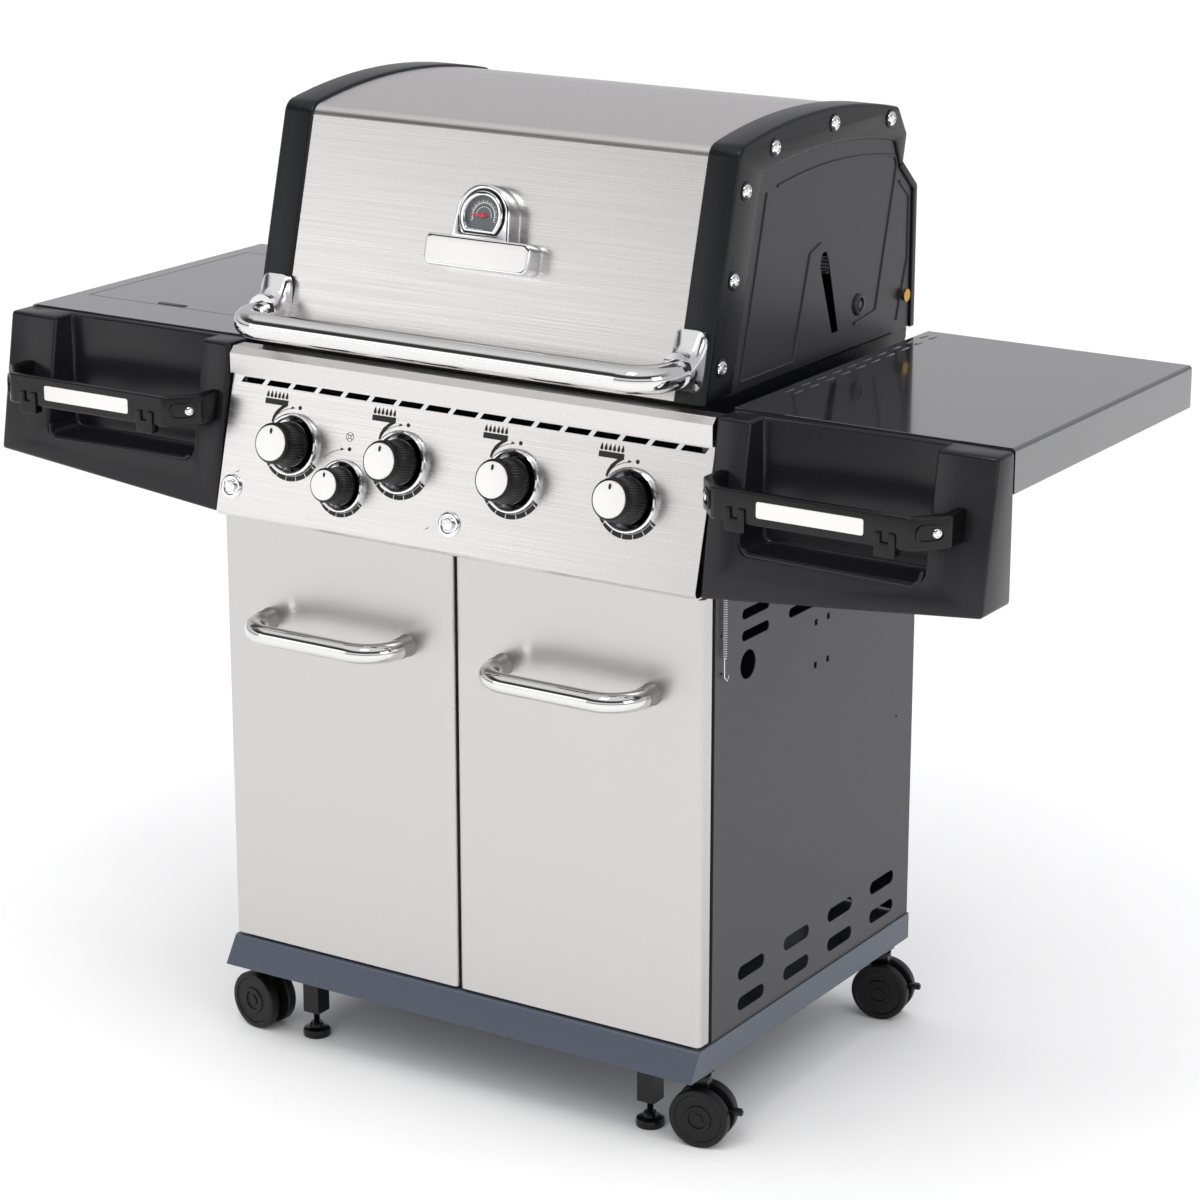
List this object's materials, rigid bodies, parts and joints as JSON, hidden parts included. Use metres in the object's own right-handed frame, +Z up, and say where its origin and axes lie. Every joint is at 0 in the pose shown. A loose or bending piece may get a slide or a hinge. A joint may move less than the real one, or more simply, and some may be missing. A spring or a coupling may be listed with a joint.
{
  "type": "gas barbecue grill",
  "caption": "Free-standing gas barbecue on a two-door cart with hinged lid, side shelves, flush side burner, control knobs, tool rails, grease tray and locking casters.",
  "frame": {"origin": "on the floor, under the middle of the overall box", "axes": "+Z up, +X to the right of someone facing the front, -Y to the front where the doors and knobs are"},
  "size_m": [1.42, 0.628, 1.2265],
  "materials": {
    "brushed_stainless": "brushed stainless sheet, horizontal grain",
    "polished_tube": "satin-polished stainless tube",
    "chrome_plate": "bright chrome plate",
    "brass_pin": "plain brass and plated steel pins",
    "black_casting": "heat-proof black paint on cast aluminium",
    "grey_coated_steel": "slate-grey powder coat on sheet steel",
    "blue_grey_coated_steel": "metallic blue-grey coat on sheet steel",
    "dark_enamel_steel": "glossy dark enamel on sheet steel",
    "moulded_resin": "fine-textured charcoal moulded resin",
    "black_nylon": "satin black glass-filled nylon",
    "burner_steel": "plain stainless burner tube and sheet",
    "cast_iron": "seasoned cast iron",
    "chrome_wire": "chromed wire",
    "aluminium": "mill-finish aluminium",
    "stem_steel": "zinc-plated turned steel",
    "needle_red": "red paint on thin sheet",
    "caster_nylon": "black nylon caster housing",
    "caster_rubber": "hard black caster tread and hub"
  },
  "bodies": {
    "cart": {"base_tray": "blue_grey_coated_steel", "side_panel_left": "grey_coated_steel", "side_panel_right": "grey_coated_steel", "back_panel": "grey_coated_steel", "cookbox": "black_casting", "burner_tubes": "burner_steel", "flame_tamers": "burner_steel", "cooking_grates": "cast_iron", "warming_rack": "chrome_wire", "gas_manifold": "aluminium", "control_panel": "brushed_stainless", "top_rail": "brushed_stainless", "shelf_left": "dark_enamel_steel", "shelf_right": "dark_enamel_steel", "end_cap_left": "moulded_resin", "end_cap_right": "moulded_resin", "tool_rails": "black_nylon", "side_burner": "burner_steel", "hinge_pins": "brass_pin", "foot_sockets": "moulded_resin"},
    "lid": {"lid_skin": "brushed_stainless", "lid_end_left": "black_casting", "lid_end_right": "black_casting", "lid_handle_bar": "polished_tube", "handle_sockets": "chrome_plate", "lid_bolts": "chrome_plate", "gauge_bezel": "chrome_plate"},
    "needle": {"gauge_needle": "needle_red"},
    "door_left": {"door_left": "brushed_stainless", "door_handle_left": "polished_tube"},
    "door_right": {"door_right": "brushed_stainless", "door_handle_right": "polished_tube"},
    "side_cover": {"side_burner_lid": "dark_enamel_steel"},
    "grease_tray": {"grease_tray": "aluminium"},
    "igniter": {"igniter_button": "black_nylon"},
    "side_igniter": {"side_igniter_button": "black_nylon"},
    "foot_left": {"foot_left": "stem_steel"},
    "foot_right": {"foot_right": "stem_steel"},
    "stem_1": {"valve_stem_1": "stem_steel"},
    "knob_1": {"knob_1": "black_nylon"},
    "stem_2": {"valve_stem_2": "stem_steel"},
    "knob_2": {"knob_2": "black_nylon"},
    "stem_3": {"valve_stem_3": "stem_steel"},
    "knob_3": {"knob_3": "black_nylon"},
    "stem_4": {"valve_stem_4": "stem_steel"},
    "knob_4": {"knob_4": "black_nylon"},
    "stem_side": {"valve_stem_side": "stem_steel"},
    "knob_side": {"knob_side": "black_nylon"},
    "caster_front_left": {"caster_front_left": "caster_nylon"},
    "wheels_front_left": {"wheels_front_left": "caster_rubber"},
    "brake_front_left": {"brake_front_left": "caster_nylon"},
    "caster_front_right": {"caster_front_right": "caster_nylon"},
    "wheels_front_right": {"wheels_front_right": "caster_rubber"},
    "brake_front_right": {"brake_front_right": "caster_nylon"},
    "caster_rear_left": {"caster_rear_left": "caster_nylon"},
    "wheels_rear_left": {"wheels_rear_left": "caster_rubber"},
    "brake_rear_left": {"brake_rear_left": "caster_nylon"},
    "caster_rear_right": {"caster_rear_right": "caster_nylon"},
    "wheels_rear_right": {"wheels_rear_right": "caster_rubber"},
    "brake_rear_right": {"brake_rear_right": "caster_nylon"}
  },
  "joints": [
    {"name": "lid_hinge", "type": "hinge", "parent": "cart", "child": "lid", "pos_m": [0, 0.285, 0.964], "axis": [1, 0, 0], "range_deg": [-85, 0]},
    {"name": "needle_spindle", "type": "hinge", "parent": "lid", "child": "needle", "pos_m": [0, -0.14959, 1.098], "axis": [0, -0.9665, 0.2567], "range_deg": [-240, 0]},
    {"name": "door_left_hinge", "type": "hinge", "parent": "cart", "child": "door_left", "pos_m": [-0.339, -0.229, 0.4], "axis": [0, 0, 1], "range_deg": [-110, 0]},
    {"name": "door_right_hinge", "type": "hinge", "parent": "cart", "child": "door_right", "pos_m": [0.339, -0.229, 0.4], "axis": [0, 0, 1], "range_deg": [0, 110]},
    {"name": "side_cover_hinge", "type": "hinge", "parent": "cart", "child": "side_cover", "pos_m": [-0.535, 0.2495, 0.9202], "axis": [1, 0, 0], "range_deg": [-100, 0]},
    {"name": "grease_tray_slide", "type": "slide", "parent": "cart", "child": "grease_tray", "axis": [0, 1, 0], "range_m": [0, 0.3]},
    {"name": "knob_1_push", "type": "slide", "parent": "cart", "child": "stem_1", "axis": [0, 0.9681, -0.2507], "range_m": [0, 0.003], "stiffness_N_per_m": 1500},
    {"name": "knob_1_turn", "type": "hinge", "parent": "stem_1", "child": "knob_1", "pos_m": [-0.24495, -0.23216, 0.803], "axis": [0, -0.9681, 0.2507], "range_deg": [0, 210]},
    {"name": "knob_2_push", "type": "slide", "parent": "cart", "child": "stem_2", "axis": [0, 0.9681, -0.2507], "range_m": [0, 0.003], "stiffness_N_per_m": 1500},
    {"name": "knob_2_turn", "type": "hinge", "parent": "stem_2", "child": "knob_2", "pos_m": [-0.08165, -0.23216, 0.803], "axis": [0, -0.9681, 0.2507], "range_deg": [0, 210]},
    {"name": "knob_3_push", "type": "slide", "parent": "cart", "child": "stem_3", "axis": [0, 0.9681, -0.2507], "range_m": [0, 0.003], "stiffness_N_per_m": 1500},
    {"name": "knob_3_turn", "type": "hinge", "parent": "stem_3", "child": "knob_3", "pos_m": [0.08165, -0.23216, 0.803], "axis": [0, -0.9681, 0.2507], "range_deg": [0, 210]},
    {"name": "knob_4_push", "type": "slide", "parent": "cart", "child": "stem_4", "axis": [0, 0.9681, -0.2507], "range_m": [0, 0.003], "stiffness_N_per_m": 1500},
    {"name": "knob_4_turn", "type": "hinge", "parent": "stem_4", "child": "knob_4", "pos_m": [0.24495, -0.23216, 0.803], "axis": [0, -0.9681, 0.2507], "range_deg": [0, 210]},
    {"name": "knob_side_push", "type": "slide", "parent": "cart", "child": "stem_side", "axis": [0, 0.9681, -0.2507], "range_m": [0, 0.003], "stiffness_N_per_m": 1500},
    {"name": "knob_side_turn", "type": "hinge", "parent": "stem_side", "child": "knob_side", "pos_m": [-0.1633, -0.24226, 0.764], "axis": [0, -0.9681, 0.2507], "range_deg": [0, 210]},
    {"name": "igniter_push", "type": "slide", "parent": "cart", "child": "igniter", "axis": [0, 0.9681, -0.2507], "range_m": [0, 0.003], "stiffness_N_per_m": 800},
    {"name": "side_igniter_push", "type": "slide", "parent": "cart", "child": "side_igniter", "axis": [0, 0.9681, -0.2507], "range_m": [0, 0.003], "stiffness_N_per_m": 800},
    {"name": "foot_left_screw", "type": "slide", "parent": "cart", "child": "foot_left", "axis": [0, 0, 1], "range_m": [0, 0.015]},
    {"name": "foot_right_screw", "type": "slide", "parent": "cart", "child": "foot_right", "axis": [0, 0, 1], "range_m": [0, 0.015]},
    {"name": "front_left_swivel", "type": "hinge", "parent": "cart", "child": "caster_front_left", "pos_m": [-0.33, -0.205, 0.1], "axis": [0, 0, 1], "continuous": true},
    {"name": "front_left_roll", "type": "hinge", "parent": "caster_front_left", "child": "wheels_front_left", "pos_m": [-0.33591, -0.20396, 0.038], "axis": [-0.1736, -0.9848, 0], "continuous": true},
    {"name": "front_left_brake", "type": "hinge", "parent": "caster_front_left", "child": "brake_front_left", "pos_m": [-0.35757, -0.20014, 0.046], "axis": [-0.1736, -0.9848, 0], "range_deg": [0, 18]},
    {"name": "front_right_swivel", "type": "hinge", "parent": "cart", "child": "caster_front_right", "pos_m": [0.33, -0.205, 0.1], "axis": [0, 0, 1], "continuous": true},
    {"name": "front_right_roll", "type": "hinge", "parent": "caster_front_right", "child": "wheels_front_right", "pos_m": [0.33591, -0.20396, 0.038], "axis": [-0.1736, 0.9848, 0], "continuous": true},
    {"name": "front_right_brake", "type": "hinge", "parent": "caster_front_right", "child": "brake_front_right", "pos_m": [0.35757, -0.20014, 0.046], "axis": [-0.1736, 0.9848, 0], "range_deg": [0, 18]},
    {"name": "rear_left_swivel", "type": "hinge", "parent": "cart", "child": "caster_rear_left", "pos_m": [-0.33, 0.257, 0.1], "axis": [0, 0, 1], "continuous": true},
    {"name": "rear_left_roll", "type": "hinge", "parent": "caster_rear_left", "child": "wheels_rear_left", "pos_m": [-0.33591, 0.25804, 0.038], "axis": [-0.1736, -0.9848, 0], "continuous": true},
    {"name": "rear_left_brake", "type": "hinge", "parent": "caster_rear_left", "child": "brake_rear_left", "pos_m": [-0.35757, 0.26186, 0.046], "axis": [-0.1736, -0.9848, 0], "range_deg": [0, 18]},
    {"name": "rear_right_swivel", "type": "hinge", "parent": "cart", "child": "caster_rear_right", "pos_m": [0.33, 0.257, 0.1], "axis": [0, 0, 1], "continuous": true},
    {"name": "rear_right_roll", "type": "hinge", "parent": "caster_rear_right", "child": "wheels_rear_right", "pos_m": [0.33591, 0.25804, 0.038], "axis": [-0.1736, 0.9848, 0], "continuous": true},
    {"name": "rear_right_brake", "type": "hinge", "parent": "caster_rear_right", "child": "brake_rear_right", "pos_m": [0.35757, 0.26186, 0.046], "axis": [-0.1736, 0.9848, 0], "range_deg": [0, 18]}
  ]
}
